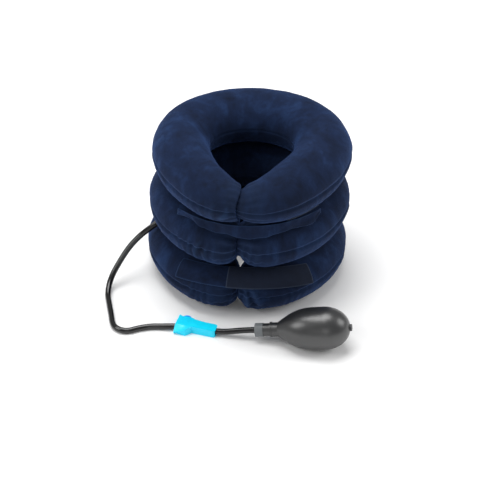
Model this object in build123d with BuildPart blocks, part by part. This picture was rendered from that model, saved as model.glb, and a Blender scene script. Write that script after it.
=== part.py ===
from build123d import *
import os
from math import asin, cos, degrees, hypot, pi, radians, sin, sqrt, tan

# An inflatable neck traction collar: three C-shaped air cushions stacked on each other, two
# closing straps, an air hose with a roller clamp, and a squeeze bulb. Millimetres, +Z up. The
# origin is the middle of the neck opening at the floor, and the arms of the cushions meet at -Y.

os.makedirs("parts", exist_ok=True)

# ---- Cushions ----
tube_half_width = 33.9
tube_half_height = 32.2
panel_wall = 0.8
weld_rim = 2.5
rim_thickness = 0.6
tier_gap = 1.2
arm_gap = 1.0
rest_band_half_width = 8.0
rest_band_trim = 0.1
ring_stations = 26
arm_end_stations = (0.0, 2.4, 6.0, 11.0, 20.0)

# Each cushion's centreline is half an ellipse to the front and half an ellipse to the back, and
# "point" draws the front out into an egg. Each arm shrinks to its "end" share over its "taper".
# The soft stack leans a little to the right. The straps hold the arms of the two lower cushions
# blunt, and the upper one's arms run out long and slim.
lower_ring = {"shift": -2.7, "side": 86.9, "back": 72.0, "front": 86.8, "point": 0.0, "end": 0.66, "taper": 30.0}
middle_ring = {"shift": 0.0, "side": 85.5, "back": 72.0, "front": 89.7, "point": 0.0, "end": 0.66, "taper": 30.0}
upper_ring = {"shift": 3.0, "side": 83.2, "back": 72.0, "front": 79.0, "point": 31.0, "end": 0.57, "taper": 110.0}

tier_pitch = 2 * tube_half_height + tier_gap
lower_ring["height"] = tube_half_height - rest_band_trim
middle_ring["height"] = lower_ring["height"] + tier_pitch
upper_ring["height"] = middle_ring["height"] + tier_pitch

# ---- Air passages between the cushions ----
passage_bore = 8.0
passage_ring_diameter = 18.0
passage_clearance = 0.3
passage_angles = (70.0, 180.0, 290.0)

# ---- Straps ----
strap_width_angle = 42.0
strap_low_angle = 28.0
strap_sag_angle = 17.0
strap_sag_reach = 44.0
strap_thickness = 1.1
strap_standoff = 1.9
strap_layer_gap = 0.1
lower_strap_reach = (-38.0, 45.0)
tape_start = -6.0
tab_end = 8.0
hook_patch_thickness = 1.0
hook_patch_gap = 0.3
hook_patch_length = 30.0
upper_strap_reach = (-38.0, 50.0)
upper_strap_inset = 2.9
upper_strap_drop = 0.5
upper_strap_width = 19.0
upper_patch_low_angle = -62.0
upper_patch_width_angle = 22.0
patch_inset_angle = 2.0
strap_stations = 13
bridge_angle = 22.0

# ---- Hose, and the elbow that it starts from, in the groove over the lower cushion ----
hose_diameter = 7.0
hose_bore = 4.0
barb_clearance = 0.05
elbow_body_diameter = 8.0
elbow_body_length = 5.0
elbow_setback = 0.8
elbow_stub_length = 5.0
elbow_bore = 2.0
elbow_end_wall = 1.0
elbow_port_diameter = 5.0
elbow_port_depth = 3.1
elbow_port_clearance = 0.1
elbow_turn = 289.0

# ---- Roller clamp: u along the hose, v away from the closed back, lying on one side wall ----
clamp_corner = (-71.0, -143.2)
clamp_turn = -11.0
clamp_length = 48.0
clamp_head_length = 17.0
clamp_side_wall = 1.2
clamp_head_margin = 0.8
clamp_tail_margin = 1.2
channel_clearance = 0.3
clamp_back_wall = 1.5
clamp_end_radius = 3.0
clamp_shoulder = (2.5, 1.4)
clamp_ear_length = 3.2
clamp_ear_slope = 2.2
clamp_ear_height = 1.8
clamp_ear_corner_height = 1.2
clamp_hose_clearance = 0.4
clamp_mouth_height = 0.8
clamp_mouth_length = 19.0
clamp_mouth_overrun = 4.0
hose_float = 0.8
roller_diameter = 12.4
roller_edge_radius = 0.5
roller_side_gap = 0.2
roller_notches = 20
roller_notch_radius = 0.5
roller_open_gap = 0.2
pinched_hose = 2.4
axle_diameter = 1.8
axle_clearance = 0.05
axle_groove_depth = 0.8
groove_open_place = 9.5
groove_closed_place = 31.0
groove_end_margin = 2.0
grip_groove_count = 5
grip_groove_start = 4.0
grip_groove_width = 0.8
grip_groove_depth = 0.3
grip_groove_pitch = 2.6
grip_groove_margins = (2.1, 0.9)
cut_overrun = 1.0

# ---- Squeeze bulb: s along its axis from the end of its neck ----
bulb_neck_x = 22.9
bulb_neck_y = -148.9
bulb_turn = -2.2
bulb_pitch = 9.1
bulb_radius = 24.6
bulb_length = 109.5
bulb_belly = 80.0
bulb_waist = 49.3
bulb_waist_radius = 21.4
bulb_shoulder_slope = 0.72
bulb_contact = 58.0
bulb_contact_radius = 23.3
bulb_wall = 2.2
neck_radius = 7.3
neck_step = 0.9
neck_length = 26.2
collar_length = 9.3
collar_step = 0.6
bead_end = 19.4
bead_thickness = 2.0
bead_step = 1.5
bead_seat = 0.05
valve_length = 24.0
valve_fit = 0.05
barb_length = 8.0
barb_overlap = 1.0
outlet_bore_radius = 1.0
disc_radius = 3.2
disc_thickness = 0.8
disc_travel = 1.0
disc_clearance = 0.3
disc_seat_gap = 0.05
chamber_place = 12.0
inlet_radius = 4.0
inlet_wall = 1.3
inlet_stop_thickness = 2.0
inlet_length = 9.0
inlet_stand_out = 1.8
inlet_hole_radius = 1.4


# ---------------------------------------------------------------- helpers

def ring_point(ring, turn):
    """Returns a point of a cushion's centreline, turn degrees round from the front."""
    forward = cos(radians(turn))
    if forward > 0:
        reach = ring["front"] * forward + ring["point"] * forward**3
    else:
        reach = ring["back"] * forward
    return Vector(ring["shift"] + ring["side"] * sin(radians(turn)), -reach, ring["height"])


def ring_outward(ring, turn):
    """Returns the level direction that points out of the ring there."""
    forward = cos(radians(turn))
    if forward > 0:
        reach = ring["front"] + 3 * ring["point"] * forward**2
    else:
        reach = ring["back"]
    return Vector(reach * sin(radians(turn)), -ring["side"] * forward, 0).normalized()


def section_plane(ring, turn, facing):
    """Returns the plane of a cross-section: x out of the ring, y up for facing 1, down for -1."""
    outward = ring_outward(ring, turn)
    along = Vector(-outward.Y, outward.X, 0)
    return Plane(origin=ring_point(ring, turn), x_dir=outward, z_dir=along * -facing)


def arm_scale(ring, turn):
    """Returns the size of the cross-section as a share of the full one: it shrinks at the ends."""
    from_front = radians(min(abs(turn), 360 - turn))
    reach = from_front * (ring["side"] + ring["front"] + ring["point"]) / 2
    if reach >= ring["taper"]:
        return 1.0
    return sqrt(1 - (1 - ring["end"] ** 2) * (1 - reach / ring["taper"]) ** 2)


def ring_turns(ring):
    """Returns the stations of a cushion, closer together at the arms' ends."""
    first = degrees(arm_gap / 2 / ring["side"])
    start = [first + station for station in arm_end_stations]
    step = (360 - 2 * start[-1]) / ring_stations
    middle = [start[-1] + step * place for place in range(1, ring_stations)]
    return start + middle + [360 - turn for turn in reversed(start)]


def quarter(middle, width, height, start, end):
    """Draws part of an ellipse whose centre is on the x axis, from start to end degrees."""
    return EllipticalCenterArc((middle, 0), width, height, start, arc_size=end - start)


def panel_section(plane, scale, flat):
    """Draws a panel's section: a thin half tube that stands on the plane, a rim at each foot."""
    width = tube_half_width * scale
    height = tube_half_height * scale
    level = flat * scale
    foot = width + weld_rim
    lift = degrees(asin(rim_thickness / height))
    inner_width = width - panel_wall - level
    inner_height = height - panel_wall
    with BuildSketch(plane) as section:
        with BuildLine():
            outer_near = quarter(level, width - level, height, lift, 90)
            outer_far = quarter(-level, width - level, height, 90, 180 - lift)
            inner_near = quarter(level, inner_width, inner_height, 0, 90)
            inner_far = quarter(-level, inner_width, inner_height, 90, 180)
            if level:
                Line(outer_near @ 1, outer_far @ 0)
                Line(inner_near @ 1, inner_far @ 0)
            Polyline(outer_near @ 0, (foot, rim_thickness), (foot, 0), inner_near @ 0)
            Polyline(outer_far @ 1, (-foot, rim_thickness), (-foot, 0), inner_far @ 1)
        make_face()
    return section.sketch


def end_cap(ring, turn, facing):
    """Draws the half ellipse that closes an arm's end, out to the middle of the wall."""
    width = tube_half_width * arm_scale(ring, turn) - panel_wall / 2
    height = tube_half_height * arm_scale(ring, turn) - panel_wall / 2
    with BuildSketch(section_plane(ring, turn, facing)) as cap:
        Ellipse(width, height)
        with Locations((0, -height)):
            Rectangle(2 * width, 2 * height, mode=Mode.SUBTRACT)
    return cap.sketch


def build_panel(name, ring, facing, flat, holes):
    """Makes one flocked panel of a cushion, half a tube bent into a C, and saves it."""
    turns = ring_turns(ring)
    with BuildPart() as panel:
        for turn in turns:
            add(panel_section(section_plane(ring, turn, facing), arm_scale(ring, turn), flat))
        loft()
        for turn, inward in ((turns[0], -facing), (turns[-1], facing)):
            extrude(end_cap(ring, turn, facing), amount=panel_wall * inward)
        for place, diameter in holes:
            crown = ring["height"] + facing * tube_half_height
            with Locations((place.X, place.Y, crown)):
                Cylinder(diameter / 2, tube_half_height, mode=Mode.SUBTRACT)
        if flat:
            split(bisect_by=Plane.XY, keep=Keep.TOP)
    save(panel, name)


def save(piece, name):
    """Labels a finished piece and writes it."""
    piece.part.label = name
    export_step(piece.part, f"parts/{name}.step")


def strap_angles(turn):
    """Returns the band's two edges on the cushion's section; it hangs lower towards its ends."""
    low = strap_low_angle - strap_sag_angle * (turn / strap_sag_reach) ** 2
    return low, low + strap_width_angle


def upper_patch_edges(turn):
    """Returns the upper hook patch's two edges on the cushion's section, the same all along."""
    return upper_patch_low_angle, upper_patch_low_angle + upper_patch_width_angle


def band(name, ring, reach, angles, clearance, thickness):
    """Makes a strip that follows a cushion's outside and bridges its arms' ends, and saves it."""
    with BuildPart() as strip:
        for place in range(strap_stations):
            turn = reach[0] + (reach[1] - reach[0]) * place / (strap_stations - 1)
            low, high = angles(turn)
            size = arm_scale(ring, max(abs(turn), bridge_angle))
            inner = (tube_half_width * size + clearance, tube_half_height * size + clearance)
            outer = (inner[0] + thickness, inner[1] + thickness)
            with BuildSketch(section_plane(ring, turn, 1)):
                with BuildLine():
                    inside = quarter(0, inner[0], inner[1], low, high)
                    outside = quarter(0, outer[0], outer[1], low, high)
                    Line(inside @ 0, outside @ 0)
                    Line(inside @ 1, outside @ 1)
                make_face()
        loft()
    save(strip, name)


# ---------------------------------------------------------------- cushions

passage_places = {}
for tier, ring in (("lower", lower_ring), ("middle", middle_ring)):
    passage_places[tier] = [ring_point(ring, turn) for turn in passage_angles]

# The hose's elbow sits in the groove between the lower and the middle cushion, at the left.
hose_start = Vector(-109.5, -28.5, middle_ring["height"] - tier_pitch / 2)
hose_second = Vector(-122.5, -36.5, 58.5)
hose_way = (hose_second - hose_start).normalized()
elbow_middle = hose_start - hose_way * (elbow_body_length / 2 + elbow_setback)

# The elbow's port stands up into the underside of the middle cushion.
elbow_from_line = elbow_middle - ring_point(middle_ring, elbow_turn)
elbow_share = elbow_from_line.dot(ring_outward(middle_ring, elbow_turn)) / tube_half_width
underside = middle_ring["height"] - tube_half_height * sqrt(1 - elbow_share**2)
elbow_port_height = underside + elbow_port_depth - elbow_middle.Z

lower_holes = [(place, passage_bore) for place in passage_places["lower"]]
middle_holes = [(place, passage_bore) for place in passage_places["middle"]]
port_hole = [(elbow_middle, elbow_port_diameter + 2 * elbow_port_clearance)]
build_panel("lower_top_panel", lower_ring, 1, 0, lower_holes)
build_panel("lower_base_panel", lower_ring, -1, rest_band_half_width, [])
build_panel("middle_top_panel", middle_ring, 1, 0, middle_holes)
build_panel("middle_base_panel", middle_ring, -1, 0, lower_holes + port_hole)
build_panel("upper_top_panel", upper_ring, 1, 0, [])
build_panel("upper_base_panel", upper_ring, -1, 0, middle_holes)

# Weld rings that join two cushions round each passage, in the gap between their crowns.
passage_ring_thickness = tier_gap - 2 * passage_clearance
for tier, ring in (("lower", lower_ring), ("middle", middle_ring)):
    with BuildPart() as passages:
        with Locations(*passage_places[tier]):
            with Locations((0, 0, tube_half_height + passage_clearance)):
                Cylinder(
                    passage_ring_diameter / 2,
                    passage_ring_thickness,
                    align=(Align.CENTER, Align.CENTER, Align.MIN),
                )
                Cylinder(passage_bore / 2, 2 * tier_pitch, mode=Mode.SUBTRACT)
    save(passages, "lower_air_passages" if tier == "lower" else "upper_air_passages")

# ---------------------------------------------------------------- inlet elbow

with BuildPart() as inlet_elbow:
    with BuildSketch(Plane(origin=hose_start, z_dir=hose_way)):
        Circle(elbow_body_diameter / 2)
    extrude(amount=-elbow_body_length)
    with BuildSketch(Plane(origin=hose_start, z_dir=hose_way)):
        Circle(hose_bore / 2 - barb_clearance)
    extrude(amount=elbow_stub_length)
    with BuildSketch(Plane.XY.offset(elbow_middle.Z)):
        with Locations((elbow_middle.X, elbow_middle.Y)):
            Circle(elbow_port_diameter / 2)
    extrude(amount=elbow_port_height)
    with BuildSketch(Plane(origin=hose_start + hose_way * elbow_stub_length, z_dir=hose_way)):
        Circle(elbow_bore / 2)
    extrude(amount=-(elbow_stub_length + elbow_body_length - elbow_end_wall), mode=Mode.SUBTRACT)
    with BuildSketch(Plane.XY.offset(elbow_middle.Z)):
        with Locations((elbow_middle.X, elbow_middle.Y)):
            Circle(elbow_bore / 2)
    extrude(amount=elbow_port_height + cut_overrun, mode=Mode.SUBTRACT)
save(inlet_elbow, "inlet_elbow")

# ---------------------------------------------------------------- straps

tab_reach = (lower_strap_reach[0], tab_end)
tape_reach = (tape_start, lower_strap_reach[1])
tape_standoff = strap_standoff + strap_thickness + strap_layer_gap
band("lower_strap_tab", lower_ring, tab_reach, strap_angles, strap_standoff, strap_thickness)
band("lower_strap_tape", lower_ring, tape_reach, strap_angles, tape_standoff, strap_thickness)

patch_turn = degrees(hook_patch_length / lower_ring["side"])
patch_end = lower_strap_reach[1] - patch_inset_angle
patch_reach = (patch_end - patch_turn, patch_end)
band(
    "lower_strap_hook_patch", lower_ring, patch_reach, strap_angles, hook_patch_gap, hook_patch_thickness
)

with BuildPart() as upper_strap:
    strap_middle = tier_pitch / 2 - upper_strap_drop
    for place in range(strap_stations):
        reach = upper_strap_reach[1] - upper_strap_reach[0]
        turn = upper_strap_reach[0] + reach * place / (strap_stations - 1)
        with BuildSketch(section_plane(middle_ring, turn, 1)):
            with Locations((tube_half_width - upper_strap_inset, strap_middle)):
                Rectangle(strap_thickness, upper_strap_width)
    loft()
save(upper_strap, "upper_strap")

upper_patch_end = upper_strap_reach[1] - patch_inset_angle
upper_patch_reach = (upper_patch_end - patch_turn, upper_patch_end)
band(
    "upper_strap_hook_patch",
    upper_ring,
    upper_patch_reach,
    upper_patch_edges,
    hook_patch_gap,
    hook_patch_thickness,
)

# ---------------------------------------------------------------- roller clamp

clamp_plane = Plane(
    origin=(clamp_corner[0], clamp_corner[1], 0),
    x_dir=(cos(radians(clamp_turn)), sin(radians(clamp_turn)), 0),
    z_dir=(0, 0, 1),
)
channel_width = hose_diameter + 2 * channel_clearance
clamp_thickness = channel_width + 2 * clamp_side_wall
hose_height = clamp_thickness / 2
hose_seat = clamp_back_wall + hose_diameter / 2 + hose_float
hose_enters = (0.0, clamp_mouth_height)
hose_bends = (clamp_mouth_length, hose_seat)
hose_leaves = (clamp_length, hose_seat)
hose_room = hose_diameter / 2 + clamp_hose_clearance

# At the open end the roller just clears the slanted hose; at the closed end it pinches it flat.
hose_rise = hose_seat - clamp_mouth_height
hose_slope = hypot(clamp_mouth_length, hose_rise) / clamp_mouth_length
hose_under_roller = clamp_mouth_height + hose_rise * groove_open_place / clamp_mouth_length
open_reach = (hose_diameter + roller_diameter) / 2 + roller_open_gap
groove_open_end = (groove_open_place, hose_under_roller + open_reach * hose_slope)
groove_closed_end = (groove_closed_place, clamp_back_wall + pinched_hose + roller_diameter / 2)
clamp_head_depth = groove_open_end[1] + axle_diameter / 2 + clamp_head_margin
clamp_depth = groove_closed_end[1] + axle_diameter / 2 + clamp_tail_margin

# The wing's sections, as (v, height) pairs: it flares out of the closed back at the head, and its
# top falls away towards the end.
top = clamp_thickness
wing_sections = (
    (0.0, ((0, top), (-8.0, 3.8), (-8.0, 2.0), (-5.5, 0), (0, 0))),
    (14.0, ((0, top), (-6.6, top - 0.4), (-7.2, top - 1.6), (-6.8, 0), (0, 0))),
    (19.5, ((0, top), (-0.3, top - 0.2), (-0.4, top - 1.0), (-0.3, 0), (0, 0))),
)
groove_lift = groove_closed_end[1] - groove_open_end[1]
groove_run = groove_closed_end[0] - groove_open_end[0]
groove_slant = degrees(asin(groove_lift / hypot(groove_run, groove_lift)))
axle_middle = clamp_plane.from_local_coords((*groove_open_end, hose_height))
groove_middle = (groove_open_end[0] + groove_run / 2, groove_open_end[1] + groove_lift / 2)

with BuildPart() as clamp_body:
    with BuildSketch(clamp_plane):
        with BuildLine():
            Polyline(
                (0, 0),
                (clamp_length, 0),
                (clamp_length, clamp_depth),
                (groove_closed_end[0] + groove_end_margin, clamp_depth),
                (clamp_head_length + clamp_shoulder[0], clamp_depth + clamp_shoulder[1]),
                (clamp_head_length, clamp_head_depth),
                (clamp_ear_length, clamp_head_depth),
                (clamp_ear_length - clamp_ear_slope, clamp_head_depth + clamp_ear_height),
                (0, clamp_head_depth + clamp_ear_corner_height),
                (0, 0),
            )
        make_face()
        fillet(vertices().sort_by(Axis.X)[-2:], radius=clamp_end_radius)
    extrude(amount=clamp_thickness)
    for first, second in ((0, 1), (1, 2)):
        for station in (first, second):
            distance, corners = wing_sections[station]
            start = clamp_plane.from_local_coords((distance, 0, 0))
            with BuildSketch(Plane(origin=start, x_dir=clamp_plane.y_dir, z_dir=clamp_plane.x_dir)):
                with BuildLine():
                    Polyline(*corners, close=True)
                make_face()
        loft(ruled=True)
    channel = Plane(origin=clamp_plane.from_local_coords((0, 0, clamp_side_wall)), x_dir=clamp_plane.x_dir)
    with BuildSketch(channel):
        with Locations((clamp_length / 2, clamp_back_wall)):
            Rectangle(clamp_length + 2 * cut_overrun, 2 * clamp_head_depth, align=(Align.CENTER, Align.MIN))
    extrude(amount=channel_width, mode=Mode.SUBTRACT)
    mouth = clamp_plane.from_local_coords((*hose_enters, hose_height))
    mouth_run = clamp_plane.from_local_coords((*hose_bends, hose_height)) - mouth
    with BuildSketch(Plane(origin=mouth - mouth_run.normalized() * clamp_mouth_overrun, z_dir=mouth_run)):
        Circle(hose_room)
    extrude(amount=mouth_run.length + clamp_mouth_overrun, mode=Mode.SUBTRACT)
    groove = Plane(
        origin=clamp_plane.from_local_coords((*groove_middle, clamp_side_wall - axle_groove_depth)),
        x_dir=clamp_plane.x_dir,
    )
    with BuildSketch(groove):
        with Locations(Rotation(0, 0, groove_slant)):
            SlotCenterToCenter(hypot(groove_run, groove_lift), axle_diameter + 2 * axle_clearance)
    extrude(amount=channel_width + 2 * axle_groove_depth, mode=Mode.SUBTRACT)
    for face_height in (0, clamp_thickness - grip_groove_depth):
        groove_rise = (clamp_head_depth + grip_groove_margins[0] - grip_groove_margins[1]) / 2
        start = clamp_plane.from_local_coords((grip_groove_start, groove_rise, face_height))
        with BuildSketch(Plane(origin=start, x_dir=clamp_plane.x_dir)):
            for place in range(grip_groove_count):
                with Locations((place * grip_groove_pitch, 0)):
                    SlotOverall(clamp_head_depth - sum(grip_groove_margins), grip_groove_width, rotation=90)
        extrude(amount=grip_groove_depth, mode=Mode.SUBTRACT)
save(clamp_body, "clamp_body")

roller_width = channel_width - 2 * roller_side_gap
roller_plane = Plane(origin=axle_middle, x_dir=clamp_plane.x_dir)
with BuildPart(roller_plane) as clamp_roller:
    Cylinder(roller_diameter / 2, roller_width)
    fillet(clamp_roller.edges().filter_by(GeomType.CIRCLE), radius=roller_edge_radius)
    with PolarLocations(roller_diameter / 2 + roller_notch_radius / 3, roller_notches):
        Cylinder(roller_notch_radius, roller_width, mode=Mode.SUBTRACT)
    Cylinder(axle_diameter / 2 + axle_clearance, roller_width, mode=Mode.SUBTRACT)
save(clamp_roller, "clamp_roller")

with BuildPart(roller_plane) as clamp_axle:
    Cylinder(axle_diameter / 2, channel_width + 2 * (axle_groove_depth - axle_clearance))
save(clamp_axle, "clamp_axle")

# ---------------------------------------------------------------- squeeze bulb

# The bulb lies on its belly. It touches the floor a little towards the neck from its widest place.
bulb_neck_z = bulb_contact_radius * cos(radians(bulb_pitch)) - bulb_contact * sin(radians(bulb_pitch))
bulb_way = Vector(
    cos(radians(bulb_turn)) * cos(radians(bulb_pitch)),
    sin(radians(bulb_turn)) * cos(radians(bulb_pitch)),
    sin(radians(bulb_pitch)),
)
bulb_neck = Vector(bulb_neck_x, bulb_neck_y, bulb_neck_z)
# In this plane x runs along the bulb's axis and y away from it.
bulb_plane = Plane(origin=bulb_neck, x_dir=bulb_way, z_dir=bulb_way.cross(Vector(0, 0, 1)).normalized())
bulb_axis = Axis(bulb_neck, bulb_way)
neck_end_radius = neck_radius + neck_step


def ring_outline(start, end, inside, outside):
    """Draws the section of a straight ring about the bulb's axis, from start to end along it."""
    with BuildSketch(bulb_plane) as outline:
        with BuildLine():
            Polyline((start, inside), (end, inside), (end, outside), (start, outside), close=True)
        make_face()
    return outline.sketch


def belly_outline(wall):
    """Draws the section of the bulb's body, wall deep under the skin, as a face to turn."""
    shoulder = (neck_length + wall * bulb_shoulder_slope, neck_end_radius - wall)
    half_way = (bulb_waist, bulb_waist_radius - wall)
    crown = (bulb_belly, bulb_radius - wall)
    with BuildSketch(bulb_plane) as outline:
        with BuildLine():
            Spline(shoulder, half_way, crown, tangents=((1, bulb_shoulder_slope), (1, 0)))
            far = quarter(bulb_belly, bulb_length - bulb_belly - wall, bulb_radius - wall, 0, 90)
            Polyline(
                far @ 0,
                (collar_length, 0),
                (collar_length, neck_radius - wall),
                (bead_end, neck_radius - wall),
                (bead_end, neck_end_radius - wall),
                shoulder,
            )
        make_face()
    return outline.sketch


with BuildPart() as bulb:
    revolve(belly_outline(0), axis=bulb_axis)
    revolve(belly_outline(bulb_wall), axis=bulb_axis, mode=Mode.SUBTRACT)
    inlet_bore = ring_outline(bulb_belly, bulb_length + cut_overrun, 0, inlet_radius)
    revolve(inlet_bore, axis=bulb_axis, mode=Mode.SUBTRACT)
save(bulb, "bulb")

with BuildPart() as neck_collar:
    collar = ring_outline(0, collar_length, neck_radius - bulb_wall, neck_radius + collar_step)
    revolve(collar, axis=bulb_axis)
save(neck_collar, "neck_collar")

# The bead is a ring round the neck, against the step where the neck grows wider.
with BuildPart() as neck_ring:
    bead_start = bead_end - bead_thickness
    bead = ring_outline(bead_start, bead_end - bead_seat, neck_radius + bead_seat, neck_radius + bead_step)
    revolve(bead, axis=bulb_axis)
save(neck_ring, "neck_ring")

# The outlet's non-return valve: a barb for the hose, a chamber with a loose disc, and a way through.
chamber_length = disc_thickness + disc_travel + 2 * disc_seat_gap
chamber_end = chamber_place + chamber_length
valve_radius = neck_radius - bulb_wall - valve_fit
with BuildPart() as outlet_connector:
    revolve(ring_outline(-barb_length, barb_overlap, 0, hose_bore / 2 - barb_clearance), axis=bulb_axis)
    revolve(ring_outline(0, valve_length, 0, valve_radius), axis=bulb_axis)
    way_through = ring_outline(-barb_length - cut_overrun, valve_length + cut_overrun, 0, outlet_bore_radius)
    revolve(way_through, axis=bulb_axis, mode=Mode.SUBTRACT)
    chamber = ring_outline(chamber_place, chamber_end, 0, disc_radius + disc_clearance)
    revolve(chamber, axis=bulb_axis, mode=Mode.SUBTRACT)
save(outlet_connector, "outlet_connector")

with BuildPart() as outlet_check_disc:
    disc_end = chamber_end - disc_seat_gap
    revolve(ring_outline(disc_end - disc_thickness, disc_end, 0, disc_radius), axis=bulb_axis)
save(outlet_check_disc, "outlet_check_disc")

# The inlet valve is a plug in the bulb's far end, with a loose disc inside.
inlet_end = bulb_length + inlet_stand_out
inlet_start = inlet_end - inlet_length
inlet_chamber = inlet_start + inlet_stop_thickness
inlet_chamber_end = inlet_chamber + chamber_length
inlet_disc_radius = inlet_radius - inlet_wall
with BuildPart() as inlet_valve_body:
    revolve(ring_outline(inlet_start, inlet_end, 0, inlet_radius - valve_fit), axis=bulb_axis)
    way_in = ring_outline(inlet_start - cut_overrun, inlet_end + cut_overrun, 0, inlet_hole_radius)
    revolve(way_in, axis=bulb_axis, mode=Mode.SUBTRACT)
    room = ring_outline(inlet_chamber, inlet_chamber_end, 0, inlet_disc_radius + disc_clearance)
    revolve(room, axis=bulb_axis, mode=Mode.SUBTRACT)
save(inlet_valve_body, "inlet_valve_body")

with BuildPart() as inlet_check_disc:
    disc_end = inlet_chamber_end - disc_seat_gap
    revolve(ring_outline(disc_end - disc_thickness, disc_end, 0, inlet_disc_radius), axis=bulb_axis)
save(inlet_check_disc, "inlet_check_disc")

# ---------------------------------------------------------------- hose

# The hose leaves the groove at the left, falls to the floor, turns back sharply, runs through the
# clamp and ends at the bulb's neck. It lies one radius above the floor.
hose_bottom = hose_diameter / 2
hose_route = [
    hose_start,
    hose_second,
    Vector(-138, -46, 44.5),
    Vector(-150, -57, 27.5),
    Vector(-159.5, -71, 11.8),
    Vector(-160.5, -90, hose_bottom + 0.1),
    Vector(-155, -108.5, hose_bottom),
    Vector(-149.2, -127.5, hose_bottom),
    Vector(-144, -146.5, hose_bottom),
    Vector(-135.6, -154, hose_bottom),
    Vector(-125, -155.4, hose_bottom),
    Vector(-114.5, -149.3, hose_bottom),
    Vector(-100.4, -144.0, hose_bottom),
    Vector(-84.5, -142.9, hose_bottom + 0.4),
    clamp_plane.from_local_coords((*hose_enters, hose_height)),
    clamp_plane.from_local_coords((*hose_bends, hose_height)),
    clamp_plane.from_local_coords((*hose_leaves, hose_height)),
    Vector(-8.0, -148.2, 7.6),
    bulb_neck - bulb_way * 15,
    bulb_neck,
]


def corner_radii(route):
    """Returns the arc at each corner of a route, as large as its two runs allow."""
    radii = []
    for before, corner, after in zip(route, route[1:], route[2:]):
        into = corner - before
        out = after - corner
        half_turn = radians(into.get_angle(out)) / 2
        radii.append(0.45 * min(into.length, out.length) / tan(half_turn))
    return radii


hose_radii = corner_radii(hose_route)
with BuildPart() as hose:
    with BuildLine() as hose_path:
        FilletPolyline(*hose_route, radius=hose_radii)
    with BuildSketch(Plane(origin=hose_start, z_dir=hose_way)):
        Circle(hose_diameter / 2)
        Circle(hose_bore / 2, mode=Mode.SUBTRACT)
    sweep()
save(hose, "hose")

hose_length = sum(edge.length for edge in hose_path.edges())
hose_section = pi * (hose_diameter**2 - hose_bore**2) / 4
print("hose radii", [round(radius, 1) for radius in hose_radii])
print("hose length", round(hose_length, 1), "volume share", hose.part.volume / (hose_section * hose_length))
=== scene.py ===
import math

import bmesh
import bpy
from mathutils import Matrix, Vector, noise


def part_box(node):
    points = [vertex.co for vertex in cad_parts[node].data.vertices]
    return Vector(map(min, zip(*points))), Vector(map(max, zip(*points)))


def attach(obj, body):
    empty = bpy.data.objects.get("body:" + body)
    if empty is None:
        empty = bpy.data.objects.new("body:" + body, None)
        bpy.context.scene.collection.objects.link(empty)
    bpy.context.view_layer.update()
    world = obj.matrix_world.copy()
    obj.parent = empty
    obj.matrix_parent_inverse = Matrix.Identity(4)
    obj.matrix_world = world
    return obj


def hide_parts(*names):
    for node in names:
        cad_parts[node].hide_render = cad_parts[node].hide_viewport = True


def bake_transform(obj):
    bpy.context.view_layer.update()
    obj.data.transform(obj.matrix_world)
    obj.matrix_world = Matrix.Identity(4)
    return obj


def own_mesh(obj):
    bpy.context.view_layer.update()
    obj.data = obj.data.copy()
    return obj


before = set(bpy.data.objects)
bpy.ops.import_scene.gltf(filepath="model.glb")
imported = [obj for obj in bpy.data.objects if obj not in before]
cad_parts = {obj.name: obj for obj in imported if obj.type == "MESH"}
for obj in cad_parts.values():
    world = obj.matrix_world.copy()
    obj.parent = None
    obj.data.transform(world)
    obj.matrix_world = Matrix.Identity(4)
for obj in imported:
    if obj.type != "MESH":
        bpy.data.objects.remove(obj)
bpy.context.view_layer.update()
print("frame loaded")


# ---- helpers for meshes ----

def pieceFrom(bm, name, smooth=True):
    # turns a bmesh into an object whose place is in its mesh
    mesh = bpy.data.meshes.new(name)
    bm.to_mesh(mesh)
    bm.free()
    piece = bpy.data.objects.new(name, mesh)
    bpy.context.scene.collection.objects.link(piece)
    if smooth:
        mesh.polygons.foreach_set("use_smooth", [True] * len(mesh.polygons))
    return piece


def boxOf(*nodes):
    # the box round several CAD nodes
    corners = [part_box(node) for node in nodes]
    low = [min(corner[0][axis] for corner in corners) for axis in range(3)]
    high = [max(corner[1][axis] for corner in corners) for axis in range(3)]
    return low, high


def bakeModifiers(piece):
    # replaces the piece's mesh by what its modifiers make of it
    graph = bpy.context.evaluated_depsgraph_get()
    mesh = bpy.data.meshes.new_from_object(piece.evaluated_get(graph))
    piece.modifiers.clear()
    piece.data = mesh


def subdivided(piece, levels=1):
    modifier = piece.modifiers.new("smoother", "SUBSURF")
    modifier.levels = levels
    modifier.render_levels = levels


# ---- materials ----

def newMaterial(name):
    material = bpy.data.materials.new(name)
    material.use_nodes = True
    tree = material.node_tree
    shader = tree.nodes["Principled BSDF"]
    return material, tree, shader


def addNode(tree, kind, **settings):
    node = tree.nodes.new(kind)
    for key, value in settings.items():
        if key in node.inputs:
            node.inputs[key].default_value = value
        else:
            setattr(node, key, value)
    return node


def groupOf(name, inputs, outputs):
    # an empty shader node group with named inputs and outputs
    group = bpy.data.node_groups.new(name, "ShaderNodeTree")
    for label, kind, value in inputs:
        socket = group.interface.new_socket(label, in_out="INPUT", socket_type=kind)
        socket.default_value = value
    for label, kind in outputs:
        group.interface.new_socket(label, in_out="OUTPUT", socket_type=kind)
    return group, group.nodes.new("NodeGroupInput"), group.nodes.new("NodeGroupOutput")


def placeGroup(tree, group, **values):
    node = tree.nodes.new("ShaderNodeGroup")
    node.node_tree = group
    for key, value in values.items():
        node.inputs[key].default_value = value
    return node


def ramp(tree, stops):
    node = tree.nodes.new("ShaderNodeValToRGB")
    elements = node.color_ramp.elements
    while len(elements) < len(stops):
        elements.new(0.5)
    for element, (place, value) in zip(elements, stops):
        element.position = place
        element.color = value if len(value) == 4 else (*value, 1)
    return node


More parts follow.
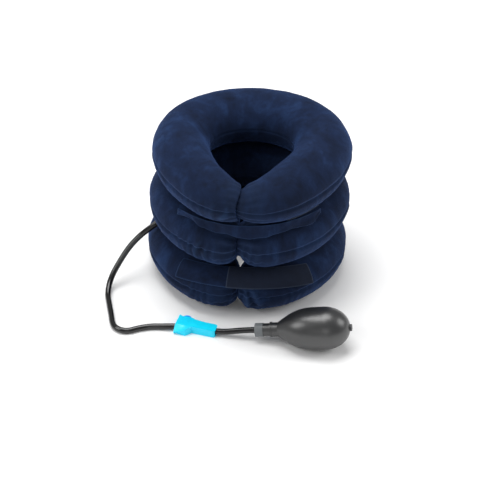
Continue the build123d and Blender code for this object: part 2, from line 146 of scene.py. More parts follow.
# short upright fibres: brushed patches that lie one way or the other, and a fine grain
def makeNapGroup():
    group, source, sink = groupOf(
        "brushedNap",
        [("Patch Scale", "NodeSocketFloat", 18), ("Grain Scale", "NodeSocketFloat", 1400),
         ("Streak Scale", "NodeSocketFloat", 90)],
        [("Patches", "NodeSocketFloat"), ("Grain", "NodeSocketFloat"), ("Streaks", "NodeSocketFloat")],
    )
    place = addNode(group, "ShaderNodeTexCoord")
    patches = addNode(group, "ShaderNodeTexNoise", Detail=5.0, Roughness=0.62, Distortion=1.2)
    grain = addNode(group, "ShaderNodeTexNoise", Detail=2.0, Roughness=0.7)
    stretch = addNode(group, "ShaderNodeMapping")
    stretch.inputs["Scale"].default_value = (1.0, 1.0, 0.12)
    streaks = addNode(group, "ShaderNodeTexNoise", Detail=3.0, Roughness=0.6, Distortion=0.4)
    link = group.links.new
    link(place.outputs["Object"], patches.inputs["Vector"])
    link(place.outputs["Object"], grain.inputs["Vector"])
    link(place.outputs["Object"], stretch.inputs["Vector"])
    link(stretch.outputs["Vector"], streaks.inputs["Vector"])
    link(source.outputs["Patch Scale"], patches.inputs["Scale"])
    link(source.outputs["Grain Scale"], grain.inputs["Scale"])
    link(source.outputs["Streak Scale"], streaks.inputs["Scale"])
    link(patches.outputs["Fac"], sink.inputs["Patches"])
    link(grain.outputs["Fac"], sink.inputs["Grain"])
    link(streaks.outputs["Fac"], sink.inputs["Streaks"])
    return group


napGroup = makeNapGroup()

flockLook = {
    "dark": (0.0022, 0.0052, 0.0160),
    "middle": (0.0052, 0.0128, 0.040),
    "light": (0.0135, 0.034, 0.098),
    # the seam colour is the lighter nap at the seams and arm ends, and also the painted highlight on the
    # gathers' crests
    "seam": (0.026, 0.055, 0.130, 1),
    "sheen": 0.22,
    "sheenTint": (0.14, 0.30, 0.85, 1),
    "bump": 0.45,
}


def makeFlock(name, look, patchScale=17, streakScale=85):
    material, tree, shader = newMaterial(name)
    nap = placeGroup(tree, napGroup, **{"Patch Scale": patchScale, "Streak Scale": streakScale})
    colour = ramp(tree, [(0.33, look["dark"]), (0.52, look["middle"]), (0.74, look["light"])])
    blend = addNode(tree, "ShaderNodeMath", operation="MULTIPLY_ADD")
    blend.inputs[1].default_value = 0.35
    join = addNode(tree, "ShaderNodeMath", operation="MULTIPLY_ADD")
    join.inputs[1].default_value = 0.65
    speck = addNode(tree, "ShaderNodeMath", operation="MULTIPLY_ADD")
    speck.inputs[1].default_value = 0.12
    speck.inputs[2].default_value = -0.06
    link = tree.links.new
    link(nap.outputs["Grain"], speck.inputs[0])
    link(nap.outputs["Patches"], join.inputs[0])
    link(speck.outputs["Value"], join.inputs[2])
    link(nap.outputs["Streaks"], blend.inputs[0])
    link(join.outputs["Value"], blend.inputs[2])
    link(blend.outputs["Value"], colour.inputs["Fac"])
    # lightens towards the seam colour at the seams and near the arms' ends, and as painted highlight on the
    # gathers' crests
    wornAndLit = addNode(tree, "ShaderNodeAttribute", attribute_name="wornNapAndCrestHighlight")
    lighten = addNode(tree, "ShaderNodeMix", data_type="RGBA")
    lighten.inputs[7].default_value = look["seam"]
    link(wornAndLit.outputs["Fac"], lighten.inputs[0])
    link(colour.outputs["Color"], lighten.inputs[6])
    link(lighten.outputs[2], shader.inputs["Base Color"])
    bump = addNode(tree, "ShaderNodeBump", Strength=look["bump"], Distance=0.0006)
    link(nap.outputs["Grain"], bump.inputs["Height"])
    link(bump.outputs["Normal"], shader.inputs["Normal"])
    shader.inputs["Roughness"].default_value = 0.92
    shader.inputs["Specular IOR Level"].default_value = 0.15
    shader.inputs["Sheen Weight"].default_value = look["sheen"]
    shader.inputs["Sheen Roughness"].default_value = 0.38
    shader.inputs["Sheen Tint"].default_value = look["sheenTint"]
    return material


flock = makeFlock("navyFlock", flockLook)


# woven fastening tape: fine ribs both ways over a dark navy ground
def makeTape(name, ground, rib, sheen):
    material, tree, shader = newMaterial(name)
    place = addNode(tree, "ShaderNodeUVMap", uv_map="weaveMap")
    along = addNode(tree, "ShaderNodeTexWave", bands_direction="X", Scale=0.42, Distortion=0.3)
    across = addNode(tree, "ShaderNodeTexWave", bands_direction="Y", Scale=0.42, Distortion=0.3)
    spread = addNode(tree, "ShaderNodeTexNoise", Scale=0.09, Detail=4.0)
    weave = addNode(tree, "ShaderNodeMath", operation="MULTIPLY")
    mixed = addNode(tree, "ShaderNodeMath", operation="MULTIPLY_ADD")
    mixed.inputs[1].default_value = 0.5
    colour = ramp(tree, [(0.1, ground), (0.95, rib)])
    wornAndLit = addNode(tree, "ShaderNodeAttribute", attribute_name="wornNapAndCrestHighlight")
    lighten = addNode(tree, "ShaderNodeMix", data_type="RGBA")
    lighten.inputs[7].default_value = (0.045, 0.065, 0.11, 1)
    bump = addNode(tree, "ShaderNodeBump", Strength=0.35, Distance=0.0004)
    link = tree.links.new
    for texture in (along, across, spread):
        link(place.outputs["UV"], texture.inputs["Vector"])
    link(along.outputs["Fac"], weave.inputs[0])
    link(across.outputs["Fac"], weave.inputs[1])
    link(weave.outputs["Value"], mixed.inputs[0])
    link(spread.outputs["Fac"], mixed.inputs[2])
    link(mixed.outputs["Value"], colour.inputs["Fac"])
    link(colour.outputs["Color"], lighten.inputs[6])
    link(wornAndLit.outputs["Fac"], lighten.inputs[0])
    link(lighten.outputs[2], shader.inputs["Base Color"])
    link(weave.outputs["Value"], bump.inputs["Height"])
    link(bump.outputs["Normal"], shader.inputs["Normal"])
    shader.inputs["Roughness"].default_value = 0.82
    shader.inputs["Specular IOR Level"].default_value = 0.25
    shader.inputs["Sheen Weight"].default_value = sheen
    shader.inputs["Sheen Tint"].default_value = (0.3, 0.45, 0.8, 1)
    return material


# ground colour, rib colour and sheen of each tape
tapeLooks = {
    "wovenTape": ((0.0016, 0.0044, 0.0135), (0.0042, 0.0098, 0.0275), 0.02),
    "hookTape": ((0.003, 0.0045, 0.009), (0.011, 0.014, 0.022), 0.05),
}
tape, hookTape = [makeTape(name, *look) for name, look in tapeLooks.items()]


# moulded parts: a little cloudiness in colour and gloss, and fine unevenness
def makeMoulded(name, colour, roughness, vary, scale, bumpDepth=0.00008, coat=0.0):
    material, tree, shader = newMaterial(name)
    place = addNode(tree, "ShaderNodeTexCoord")
    cloud = addNode(tree, "ShaderNodeTexNoise", Scale=scale, Detail=4.0, Roughness=0.55)
    fine = addNode(tree, "ShaderNodeTexNoise", Scale=scale * 18, Detail=2.0)
    dark = tuple(part * (1 - vary) for part in colour)
    light = tuple(min(part * (1 + vary), 1) for part in colour)
    shade = ramp(tree, [(0.3, dark), (0.7, light)])
    gloss = addNode(tree, "ShaderNodeMapRange")
    gloss.inputs["To Min"].default_value = max(roughness - 0.07, 0.03)
    gloss.inputs["To Max"].default_value = roughness + 0.09
    bump = addNode(tree, "ShaderNodeBump", Strength=0.5, Distance=bumpDepth)
    link = tree.links.new
    link(place.outputs["Object"], cloud.inputs["Vector"])
    link(place.outputs["Object"], fine.inputs["Vector"])
    link(cloud.outputs["Fac"], shade.inputs["Fac"])
    link(shade.outputs["Color"], shader.inputs["Base Color"])
    link(cloud.outputs["Fac"], gloss.inputs["Value"])
    link(gloss.outputs["Result"], shader.inputs["Roughness"])
    link(fine.outputs["Fac"], bump.inputs["Height"])
    link(bump.outputs["Normal"], shader.inputs["Normal"])
    shader.inputs["Coat Weight"].default_value = coat
    return material


# colour, roughness, colour variation, cloud scale, and where given the bump's depth and the coat
finishLooks = {
    "cyanPlastic": ((0.0, 0.70, 0.96), 0.36, 0.04, 90),
    "bluePlastic": ((0.002, 0.36, 1.0), 0.34, 0.06, 120),
    "blackHose": ((0.0040, 0.0040, 0.0045), 0.12, 0.2, 140, 0.00003, 0.15),
    "bulbRubber": ((0.0150, 0.0155, 0.0165), 0.33, 0.18, 38, 0.00010),
    "greySleeve": ((0.13, 0.142, 0.150), 0.5, 0.1, 110),
    "darkValve": ((0.030, 0.031, 0.034), 0.42, 0.12, 120),
    "steel": ((0.55, 0.56, 0.58), 0.24, 0.06, 300),
    "weldedFilm": ((0.010, 0.020, 0.045), 0.45, 0.15, 160),
}
finishes = {name: makeMoulded(name, *look) for name, look in finishLooks.items()}
finishes["bulbRubber"].node_tree.nodes["Principled BSDF"].inputs["Specular IOR Level"].default_value = 0.95
finishes["steel"].node_tree.nodes["Principled BSDF"].inputs["Metallic"].default_value = 1.0


def dress(finish, *nodes):
    # gives CAD nodes their finish
    for node in nodes:
        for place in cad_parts[node].material_slots:
            place.material = finishes[finish]


dress("cyanPlastic", "clamp_body")
dress("bluePlastic", "clamp_roller")
dress("steel", "clamp_axle")
dress("bulbRubber", "bulb", "neck_ring", "outlet_check_disc", "inlet_check_disc")
dress("greySleeve", "neck_collar")
dress("darkValve", "outlet_connector", "inlet_valve_body", "inlet_elbow")
dress("weldedFilm", "lower_air_passages", "upper_air_passages")
print("materials ready")

# ---- cushions ----

cushionShape = {
    "halfWidth": 0.0339,
    "halfHeight": 0.0322,
    "rim": 0.0025,
    "round": 48,
    "seamCrowding": 0.72,
    "step": 0.0042,
    "noseLength": 0.016,
    "noseStart": 0.62,
    "noseSteps": 9,
    "noseCrowding": 1.6,
    "tipSize": 0.30,
    "slackSize": 1.0,
    "swellCap": 0.0016,
    "seamDepth": 0.0011,
    "seamWidth": 0.0018,
    "armPressGap": 0.0006,
    "contactDepth": 0.045,
    "contactHalfWidth": 0.03,
}
clothPress = {
    "pressure": 4.0,
    "frames": 18,
    "quality": 6,
    "mass": 0.25,
    "tension": 18,
    "compression": 12,
    "shear": 6,
    "bending": 0.25,
    "seamBand": 0.12,
    "seamShrink": 0.015,
}
tiers = {
    "lower": {
        "front": 0.0868, "point": 0.0, "end": 0.66, "taper": 0.030, "lean": 0.0, "bow": 0.001,
        "seed": 3.0, "folds": 1.45, "floor": 0.0002, "sinksWith": "middle_lift", "sinksTo": 0.0,
    },
    "middle": {
        "front": 0.0897, "point": 0.0, "end": 0.66, "taper": 0.030, "lean": 0.022, "bow": 0.002,
        "seed": 11.0, "folds": 1.45, "floor": 0.0660, "sinksWith": "middle_lift", "sinksTo": 0.065,
    },
    "upper": {
        "front": 0.0790, "point": 0.031, "end": 0.57, "taper": 0.110, "lean": -0.022, "bow": 0.0070,
        "seed": 21.0, "folds": 0.6, "floor": 0.1316, "sinksWith": "upper_lift", "sinksTo": 0.131,
    },
}
gatherLook = {
    "wave": 820,
    "drift": 5.5,
    "patchShare": 0.28,
    "depth": 0.0027,
    "frontReach": 0.052,
    "puckerDepth": 0.0010,
    "puckerPlace": 0.010,
    "puckerReach": 0.011,
    "puckerCount": 17,
    "softDepth": 0.0011,
    "unevenDepth": 0.00045,
    "wornSeam": 0.12,
    # painted highlight: how strongly the gathers' outward crests are lightened
    "paintedCrestHighlight": 0.60,
    "wornNose": 0.10,
}
usualReach = 0.09


def sink(piece, tier):
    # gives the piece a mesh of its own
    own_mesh(piece)


def tierRing(tier):
    # the cushion's centreline, from the boxes of its two panels
    low, high = boxOf(f"{tier}_top_panel", f"{tier}_base_panel")
    reach = cushionShape["halfWidth"] + cushionShape["rim"]
    ring = dict(tiers[tier])
    ring.update({
        "shift": (low[0] + high[0]) / 2,
        "side": (high[0] - low[0]) / 2 - reach,
        "back": high[1] - reach,
        "height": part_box(f"{tier}_top_panel")[0][2],
        "high": high[2],
    })
    return ring


def ringPlace(ring, turn):
    # the centreline's point, its outward direction and its own direction, turn radians from the front
    forward = math.cos(turn)
    if forward > 0:
        reach = ring["front"] * forward + ring["point"] * forward ** 3
        slope = ring["front"] + 3 * ring["point"] * forward ** 2
    else:
        reach = ring["back"] * forward
        slope = ring["back"]
    point = Vector((ring["shift"] + ring["side"] * math.sin(turn), -reach, ring["height"]))
    along = Vector((ring["side"] * forward, slope * math.sin(turn), 0)).normalized()
    return point, Vector((along.y, -along.x, 0)), along


def armScale(ring, turn):
    # the arms grow slimmer to their ends
    turn = abs(turn) % (2 * math.pi)
    distance = min(turn, 2 * math.pi - turn) * (ring["side"] + ring["front"] + ring["point"]) / 2
    left = max(1 - distance / ring["taper"], 0)
    return math.sqrt(1 - (1 - ring["end"] ** 2) * left ** 2)


def noseSize(distance):
    # the rounding of an arm's very end, this far from it
    left = max(1 - distance / cushionShape["noseLength"], 0)
    start = cushionShape["noseStart"]
    return start + (1 - start) * math.sqrt(max(1 - left ** 2.4, 0))


def sectionMatrix(ring, turn, size):
    point, outward, along = ringPlace(ring, turn)
    width = cushionShape["halfWidth"] * size
    height = cushionShape["halfHeight"] * size
    return Matrix((
        (outward.x * width, 0, along.x, point.x),
        (outward.y * width, 0, along.y, point.y),
        (0, height, 0, point.z),
        (0, 0, 0, 1),
    ))


def crowdToSeams(bm):
    # moves a circle's points closer to its two side points, where the seams are
    for vert in bm.verts:
        angle = math.atan2(vert.co.y, vert.co.x)
        angle -= cushionShape["seamCrowding"] * math.sin(2 * angle) / 2
        vert.co = Vector((math.cos(angle), math.sin(angle), 0))


def tubeOf(ring):
    # a round section drawn along the centreline, from the right arm's end round to the left arm's
    half = (ring["side"] + ring["front"] + ring["point"]) / 2
    nose = cushionShape["noseLength"] / half
    over = ring["bow"] / half
    first = -ring["lean"] - over
    last = 2 * math.pi - ring["lean"] + over * 0.6
    noseSteps = cushionShape["noseSteps"]
    crowding = cushionShape["noseCrowding"]
    ends = [nose * (place / noseSteps) ** crowding for place in range(noseSteps + 1)]
    count = int((last - first - 2 * nose) * half / cushionShape["step"])
    span = (last - first - 2 * nose) / count
    turns = [first + end for end in ends]
    turns += [turns[-1] + span * place for place in range(1, count)]
    turns += [last - end for end in reversed(ends)]
    slack = cushionShape["slackSize"]
    tip = cushionShape["tipSize"]
    stations = [(turns[0], armScale(ring, turns[0]) * tip)]
    for turn in turns:
        distance = min(turn - first, last - turn) * half
        stations.append((turn, armScale(ring, turn) * noseSize(distance) * slack))
    stations.append((turns[-1], armScale(ring, turns[-1]) * tip))
    bm = bmesh.new()
    bmesh.ops.create_circle(bm, cap_ends=False, segments=cushionShape["round"], radius=1)
    crowdToSeams(bm)
    before = sectionMatrix(ring, *stations[0])
    bmesh.ops.transform(bm, matrix=before, verts=bm.verts)
    edges = list(bm.edges)
    for turn, size in stations[1:]:
        grown = bmesh.ops.extrude_edge_only(bm, edges=edges)["geom"]
        verts = [item for item in grown if isinstance(item, bmesh.types.BMVert)]
        edges = [item for item in grown if isinstance(item, bmesh.types.BMEdge)]
        after = sectionMatrix(ring, turn, size)
        bmesh.ops.transform(bm, matrix=after @ before.inverted(), verts=verts)
        before = after
    bmesh.ops.holes_fill(bm, edges=[edge for edge in bm.edges if edge.is_boundary], sides=0)
    caps = [face for face in bm.faces if len(face.verts) > 4]
    bmesh.ops.poke(bm, faces=caps)
    bmesh.ops.recalc_face_normals(bm, faces=bm.faces)
    return bm


def ringTurn(ring, place):
    # how far round the ring a point is, in radians from the front
    reach = ring["front"] + ring["point"] if place.y < 0 else ring["back"]
    return math.atan2((place.x - ring["shift"]) / ring["side"], -place.y / reach)


def aroundRing(ring, place):
    # a point's turn, and its angle on the cross-section: 0 outside, pi inside
    turn = ringTurn(ring, place)
    for _ in range(3):
        point, outward, along = ringPlace(ring, turn)
        turn += (place - point).dot(along) / usualReach
    point, outward, along = ringPlace(ring, turn)
    flat = (place - point).dot(outward) / cushionShape["halfWidth"]
    high = (place.z - point.z) / cushionShape["halfHeight"]
    return turn, math.atan2(high, flat)


def inflate(piece, ring):
    # cloth blown up from inside, then held to a small swell
    rest = [vert.co.copy() for vert in piece.data.vertices]
    seam = piece.vertex_groups.new(name="seamEdge")
    for vert in piece.data.vertices:
        angle = aroundRing(ring, vert.co)[1]
        nearSeam = max(0.0, 1 - min(abs(angle), math.pi - abs(angle)) / clothPress["seamBand"])
        seam.add([vert.index], nearSeam, "REPLACE")
    cloth = piece.modifiers.new("air", "CLOTH")
    settings = cloth.settings
    settings.quality = clothPress["quality"]
    settings.mass = clothPress["mass"]
    settings.tension_stiffness = clothPress["tension"]
    settings.compression_stiffness = clothPress["compression"]
    settings.shear_stiffness = clothPress["shear"]
    settings.bending_stiffness = clothPress["bending"]
    settings.use_pressure = True
    settings.uniform_pressure_force = clothPress["pressure"]
    settings.effector_weights.gravity = 0
    settings.vertex_group_shrink = "seamEdge"
    settings.shrink_min = 0.0
    settings.shrink_max = clothPress["seamShrink"]
    cloth.point_cache.frame_start = 1
    cloth.point_cache.frame_end = clothPress["frames"]
    for step in range(1, clothPress["frames"] + 1):
        bpy.context.scene.frame_set(step)
    bakeModifiers(piece)
    cap = cushionShape["swellCap"]
    for vert, start in zip(piece.data.vertices, rest):
        moved = vert.co - start
        if moved.length > cap:
            moved *= cap / moved.length
        vert.co = start + moved
    piece.vertex_groups.clear()
    bpy.context.scene.frame_set(1)


def gatherAndPress(piece, ring):
    # the pulled-in seams, the gathers beside them near the arms' ends, and the arms' contact; the nap is
    # lightened at the seams and near the arms' ends, with a painted highlight on the gathers' outward
    # crests
    mesh = piece.data
    wornAndLit = mesh.attributes.new("wornNapAndCrestHighlight", "FLOAT", "POINT")
    half = (ring["side"] + ring["front"] + ring["point"]) / 2
    look = gatherLook
    for vert in mesh.vertices:
        turn, angle = aroundRing(ring, vert.co)
        point, _, along = ringPlace(ring, turn)
        fromPoint = vert.co - point
        fromPoint -= along * fromPoint.dot(along)
        radius = max(fromPoint.length, 0.001)
        direction = fromPoint / radius
        distance = abs(turn + ring["lean"]) * half
        seamGap = min(abs(angle), math.pi - abs(angle)) * radius
        seamPull = math.exp(-(seamGap / cushionShape["seamWidth"]) ** 2)
        run = turn * half
        drift = noise.noise(Vector((run * 60, ring["seed"], angle * 0.8)))
        wave = math.sin(run * look["wave"] + look["drift"] * drift)
        patchy = max(0.0, noise.noise(Vector((run * 38, ring["seed"] * 1.7, 0.0))) + look["patchShare"])
        below = math.exp(-((angle + 0.33) / 0.42) ** 2) + 0.4 * math.exp(-((angle - 0.22) / 0.2) ** 2)
        front = math.exp(-(distance / look["frontReach"]) ** 2)
        gathers = ring["folds"] * look["depth"] * wave * patchy * below * (0.12 + front)
        noseBand = math.exp(-((distance - look["puckerPlace"]) / look["puckerReach"]) ** 2)
        puckers = look["puckerDepth"] * ring["folds"] * noseBand
        puckers *= math.sin(angle * look["puckerCount"] + 3 * drift)
        softness = look["softDepth"] * noise.noise(vert.co * 26 + Vector((ring["seed"], 0, 0)))
        softness += look["unevenDepth"] * noise.noise(vert.co * 75 + Vector((0, ring["seed"], 0)))
        depth = cushionShape["seamDepth"] * seamPull
        vert.co += direction * (gathers + puckers + softness - depth)
        # painted highlight on the gathers' outward crests, summed with the lighter nap at the seams and
        # near the arms' ends
        crest = max(0.0, wave) * patchy * below * (0.1 + front)
        wearAndCrestHighlight = look["wornSeam"] * seamPull + look["paintedCrestHighlight"] * crest + look["wornNose"] * noseBand
        wornAndLit.data[vert.index].value = min(1.0, wearAndCrestHighlight)
    meet = ringPlace(ring, -ring["lean"])[0]
    reach = cushionShape["halfHeight"] * ring["end"] * 1.25
    for vert in mesh.vertices:
        tooDeep = vert.co.y > meet.y + cushionShape["contactDepth"]
        if tooDeep or abs(vert.co.x - meet.x) > cushionShape["contactHalfWidth"]:
            continue
        rise = (vert.co.z - meet.z) / reach
        wall = meet.x - ring["bow"] * max(1 - rise * rise, -1)
        turn = aroundRing(ring, vert.co)[0]
        if turn > -ring["lean"] - 0.2 and turn < 0.6 and vert.co.x < wall and ring["rightArm"][vert.index]:
            vert.co.x = wall
        elif not ring["rightArm"][vert.index] and vert.co.x > wall - cushionShape["armPressGap"]:
            vert.co.x = wall - cushionShape["armPressGap"]
    for vert in mesh.vertices:
        vert.co.z = min(max(vert.co.z, ring["floor"]), ring["high"] - 0.0001)


def makeCushion(tier):
    ring = tierRing(tier)
    piece = pieceFrom(tubeOf(ring), f"{tier}_cushion")
    inflate(piece, ring)
    print(tier, "cushion inflated")
    subdivided(piece)
    bakeModifiers(piece)
    ring["rightArm"] = rightArmFlags(piece, ring)
    gatherAndPress(piece, ring)
    piece.data.polygons.foreach_set("use_smooth", [True] * len(piece.data.polygons))
    piece.data.materials.append(flock)
    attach(piece, f"{tier}_tier")
    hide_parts(f"{tier}_top_panel", f"{tier}_base_panel")
    sink(piece, tier)
    return ring


def rightArmFlags(piece, ring):
    # which points belong to the right arm: walked along the mesh's edges from near its end
    bm = bmesh.new()
    bm.from_mesh(piece.data)
    bm.verts.ensure_lookup_table()
    meet = ringPlace(ring, -ring["lean"])[0]
    flags = [False] * len(bm.verts)
    start = min(bm.verts, key=lambda vert: (vert.co - meet - Vector((0.03, 0.0, 0.02))).length)
    flags[start.index] = True
    front = [start]
    while front:
        grown = []
        for vert in front:
            for edge in vert.link_edges:
                other = edge.other_vert(vert)
                near = abs(other.co.x - meet.x) < 0.06 and other.co.y < meet.y + 0.06
                if near and not flags[other.index]:
                    flags[other.index] = True
                    grown.append(other)
        front = grown
    bm.free()
    return flags


rings = {tier: makeCushion(tier) for tier in tiers}
print("cushions made")

# ---- straps ----

strapShape = {
    "widthAngle": math.radians(42),
    "lowAngle": math.radians(28),
    "sagAngle": math.radians(17),
    "sagReach": math.radians(44),
    "standoff": 0.0017,
    "thickness": 0.0011,
    "tab": (-38, 9),
    "tabLift": 0.0004,
    "tabRipple": 0.0009,
    "tape": (-6, 45),
    "tapeLift": 0.0006,
    "tapeRipple": 0.0005,
    "patch": (23, 43),
    "upperPatchShift": 5,
    "upperPatchAngles": (math.radians(-62), math.radians(-40)),
    "patchLift": 0.0004,
    "patchThickness": 0.0009,
    "frayWidth": 0.0007,
    "frayShare": 0.55,
    "upper": (-38, 50),
    "upperLow": 0.1205,
    "upperHigh": 0.1395,
    "upperOffset": 0.031,
    "flapDrops": (
        (-40, 0.011), (-30, 0.0125), (-20, 0.009), (-12, 0.0045), (-6, 0.0052), (0, 0.0035), (8, 0.0008),
        (15, 0.0012), (20, 0.006), (27, 0.0075), (34, 0.0055), (42, 0.005), (50, 0.013),
    ),
    "hemWave": 0.0016,
    "hemUneven": 0.0008,
    "topPressedIn": 0.0008,
    "hemStandsOut": 0.0006,
}


def makeStrip(name, placer, lengthSteps, widthSteps, thickness, material):
    # a flat grid laid by placer(along, across), both 0 to 1, and given its thickness
    bm = bmesh.new()
    bmesh.ops.create_grid(bm, x_segments=lengthSteps, y_segments=widthSteps, size=1, calc_uvs=True)
    shares = [((vert.co.x + 1) / 2, (vert.co.y + 1) / 2) for vert in bm.verts]
    for vert, (along, across) in zip(bm.verts, shares):
        vert.co = placer(along, across)
    middle = [placer(place / 40, 0.5) for place in range(41)]
    length = sum((after - before).length for before, after in zip(middle, middle[1:]))
    cross = [placer(0.5, place / 12) for place in range(13)]
    width = sum((after - before).length for before, after in zip(cross, cross[1:]))
    weave = bm.loops.layers.uv.new("weaveMap")
    frayed = bm.verts.layers.float.new("wornNapAndCrestHighlight")
    for vert, (along, across) in zip(bm.verts, shares):
        edge = min(across * width, (1 - across) * width, along * length, (1 - along) * length)
        vert[frayed] = strapShape["frayShare"] * math.exp(-(edge / strapShape["frayWidth"]) ** 2)
        for loop in vert.link_loops:
            loop[weave].uv = (along * length * 1000, across * width * 1000)
    bmesh.ops.recalc_face_normals(bm, faces=bm.faces)
    sample = bm.faces[:][len(bm.faces) // 2]
    if sample.normal.y > 0:
        bmesh.ops.reverse_faces(bm, faces=bm.faces)
    bmesh.ops.solidify(bm, geom=bm.faces[:], thickness=thickness)
    bmesh.ops.recalc_face_normals(bm, faces=bm.faces)
    piece = pieceFrom(bm, name)
    piece.data.materials.append(material)
    return piece, length, width


def onCushion(ring, turnSpan, angleEdges, clearance, ripple=0.0, bridge=math.radians(22)):
    # places a strip on a cushion's outside, and straight over the gap between its arms
    def place(along, across):
        turn = math.radians(turnSpan[0] + (turnSpan[1] - turnSpan[0]) * along)
        low, high = angleEdges(turn)
        angle = low + (high - low) * across
        size = armScale(ring, max(abs(turn), bridge))
        point, outward, _ = ringPlace(ring, turn)
        wrinkle = ripple * noise.noise(Vector((turn * 9, across * 2.2, ring["seed"])))
        lift = clearance + wrinkle
        flat = outward * (cushionShape["halfWidth"] * size + lift) * math.cos(angle)
        return point + flat + Vector((0, 0, (cushionShape["halfHeight"] * size + lift) * math.sin(angle)))
    return place


def lowerEdges(turn):
    # the lower strap's two edges, as angles on the section: it sags towards its ends
    low = strapShape["lowAngle"] - strapShape["sagAngle"] * (turn / strapShape["sagReach"]) ** 2
    return low, low + strapShape["widthAngle"]


def flapDrop(turn):
    # how far the upper flap's hem is above the strip's lower edge, this far round
    degreesRound = math.degrees(turn)
    drops = strapShape["flapDrops"]
    for (before, low), (after, high) in zip(drops, drops[1:]):
        if degreesRound <= after:
            share = (degreesRound - before) / (after - before)
            share = share * share * (3 - 2 * share)
            return low + (high - low) * share
    return drops[-1][1]


def onGroove(along, across):
    # the upper flap: pressed flat at its top edge and wavy at its hem
    span = strapShape["upper"]
    turn = math.radians(span[0] + (span[1] - span[0]) * along)
    point, outward, _ = ringPlace(rings["middle"], turn)
    low = strapShape["upperLow"] + flapDrop(turn)
    height = low + (strapShape["upperHigh"] - low) * across
    loose = 1 - across
    wave = strapShape["hemWave"] * loose * math.sin(turn * 17 + 1.2)
    wave += strapShape["hemUneven"] * noise.noise(Vector((turn * 14, across * 2, 4)))
    offset = strapShape["upperOffset"] - strapShape["topPressedIn"] + wave
    offset += strapShape["hemStandsOut"] * loose
    place = point + outward * offset
    place.z = height
    return place


def makeStraps():
    shape = strapShape
    tabHeight = shape["standoff"] + shape["tabLift"]
    tapeHeight = shape["standoff"] + shape["thickness"] + shape["tapeLift"]
    under = onCushion(rings["lower"], shape["tab"], lowerEdges, tabHeight, shape["tabRipple"])
    over = onCushion(rings["lower"], shape["tape"], lowerEdges, tapeHeight, shape["tapeRipple"])
    strips = (
        ("lower_strap_end", under, 46, 14, flock, "lower_strap", "lower_strap_tab", "flock", "lower"),
        ("lower_strap_woven", over, 60, 16, tape, "lower_strap", "lower_strap_tape", "strap", "lower"),
        ("upper_strap_flap", onGroove, 96, 12, flock, "upper_strap", "upper_strap", "flock", "upper"),
    )
    for name, placer, lengthSteps, widthSteps, material, body, node, finish, tier in strips:
        thickness = shape["thickness"] * 0.8
        piece, length, width = makeStrip(name, placer, lengthSteps, widthSteps, thickness, material)
        subdivided(piece)
        bakeModifiers(piece)
        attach(piece, body)
        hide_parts(node)
        sink(piece, tier)
    for tier, angles in (("lower", lowerEdges), ("upper", lambda turn: shape["upperPatchAngles"])):
        shift = shape["upperPatchShift"] if tier == "upper" else 0
        span = (shape["patch"][0] + shift, shape["patch"][1] + shift)
        placer = onCushion(rings[tier], span, angles, shape["patchLift"])
        piece = makeStrip(f"{tier}_hook_patch", placer, 24, 10, shape["patchThickness"], hookTape)[0]
        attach(piece, f"{tier}_tier")
        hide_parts(f"{tier}_strap_hook_patch")
        sink(piece, tier)


makeStraps()
print("straps laid")

# ---- hose ----

# the hose's diameter and length, and two points along it named follows and lies
hoseLook = {
    "diameter": 0.007,
    "length": 0.3375,
    "follows": (-0.12, -0.033, 0.04),
    "lies": (-0.12, -0.084, 0.04),
}


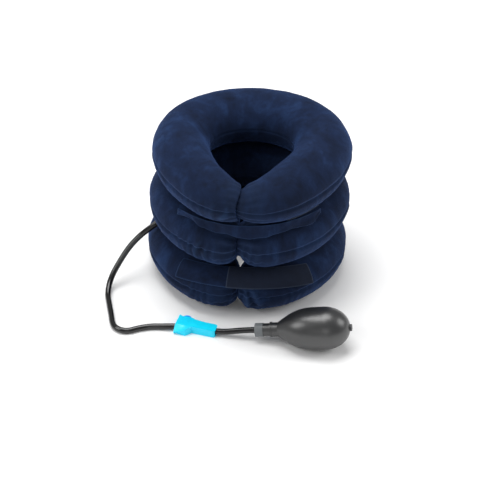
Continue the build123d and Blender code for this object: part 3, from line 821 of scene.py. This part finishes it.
def makeHose():
    route = [
        (-0.1095, -0.0285, 0.0649), (-0.1225, -0.0365, 0.0585), (-0.138, -0.046, 0.0445),
        (-0.150, -0.057, 0.0275), (-0.1595, -0.071, 0.0118), (-0.1605, -0.090, 0.0036),
        (-0.155, -0.1085, 0.0035),
        (-0.1492, -0.1275, 0.0035), (-0.144, -0.1465, 0.0035), (-0.1356, -0.154, 0.0035),
        (-0.125, -0.1554, 0.0035), (-0.1145, -0.1493, 0.0035), (-0.1004, -0.144, 0.0035),
        (-0.0845, -0.1429, 0.0039), (-0.07085, -0.14241, 0.005), (-0.05124, -0.14113, 0.005),
        (-0.02278, -0.14667, 0.005), (-0.008, -0.1482, 0.0076), (0.0081, -0.14833, 0.01146),
        (0.0229, -0.1489, 0.01383),
    ]
    curve = bpy.data.curves.new("hose_line", "CURVE")
    curve.dimensions = "3D"
    spline = curve.splines.new("NURBS")
    spline.points.add(len(route) - 1)
    for point, place in zip(spline.points, route):
        point.co = (*place, 1)
    spline.order_u = 3
    spline.use_endpoint_u = True
    spline.resolution_u = 12
    line = bpy.data.objects.new("hose_line", curve)
    middle = bpy.data.meshes.new_from_object(line)
    curve.bevel_depth = hoseLook["diameter"] / 2
    curve.bevel_resolution = 10
    curve.use_fill_caps = True
    bm = bmesh.new()
    bm.from_mesh(bpy.data.meshes.new_from_object(line))
    bpy.data.objects.remove(line)
    piece = pieceFrom(bm, "air_hose")
    piece.data.materials.append(finishes["blackHose"])
    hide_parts("hose")
    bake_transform(piece)


makeHose()
print("hose laid")

# ---- stage ----

stageLook = {
    "floor": (0.93, 0.93, 0.93, 1),
    "key": {"place": (-0.25, 0.25, 1.7), "size": 1.3, "power": 30},
    "left": {"place": (-1.3, -0.7, 1.1), "size": 0.8, "power": 9},
    "right": {"place": (1.4, 0.1, 0.9), "size": 0.8, "power": 8},
    "front": {"place": (0.1, -1.7, 0.7), "size": 0.7, "power": 2.0},
    "sky": 0.38,
}


def makeStage():
    bm = bmesh.new()
    bmesh.ops.create_grid(bm, x_segments=1, y_segments=1, size=3.0)
    floor = pieceFrom(bm, "floor", smooth=False)
    material, tree, shader = newMaterial("paleFloor")
    shader.inputs["Base Color"].default_value = stageLook["floor"]
    shader.inputs["Roughness"].default_value = 0.9
    floor.data.materials.append(material)


def makeLights():
    for name in ("key", "left", "right", "front"):
        look = stageLook[name]
        light = bpy.data.lights.new(name, "AREA")
        light.size = look["size"]
        light.energy = look["power"]
        lamp = bpy.data.objects.new(name, light)
        lamp.location = look["place"]
        lamp.rotation_euler = (Vector((0, -0.03, 0.09)) - lamp.location).to_track_quat("-Z", "Y").to_euler()
        bpy.context.scene.collection.objects.link(lamp)
    world = bpy.data.worlds.new("world")
    bpy.context.scene.world = world
    world.use_nodes = True
    world.node_tree.nodes["Background"].inputs["Color"].default_value = (1, 1, 1, 1)
    world.node_tree.nodes["Background"].inputs["Strength"].default_value = stageLook["sky"]
    bpy.context.scene.view_settings.view_transform = "Standard"


def makeCamera():
    camera = bpy.data.cameras.new("camera")
    camera.sensor_width = 36
    camera.lens = 111.98
    eye = bpy.data.objects.new("camera", camera)
    eye.location = (0.1462, -1.4371, 1.1387)
    aim = Vector((-0.00247, -0.08125, 0.09))
    eye.rotation_euler = (aim - eye.location).to_track_quat("-Z", "Y").to_euler()
    bpy.context.scene.collection.objects.link(eye)
    bpy.context.scene.camera = eye


makeStage()
makeLights()
makeCamera()
print("stage set")
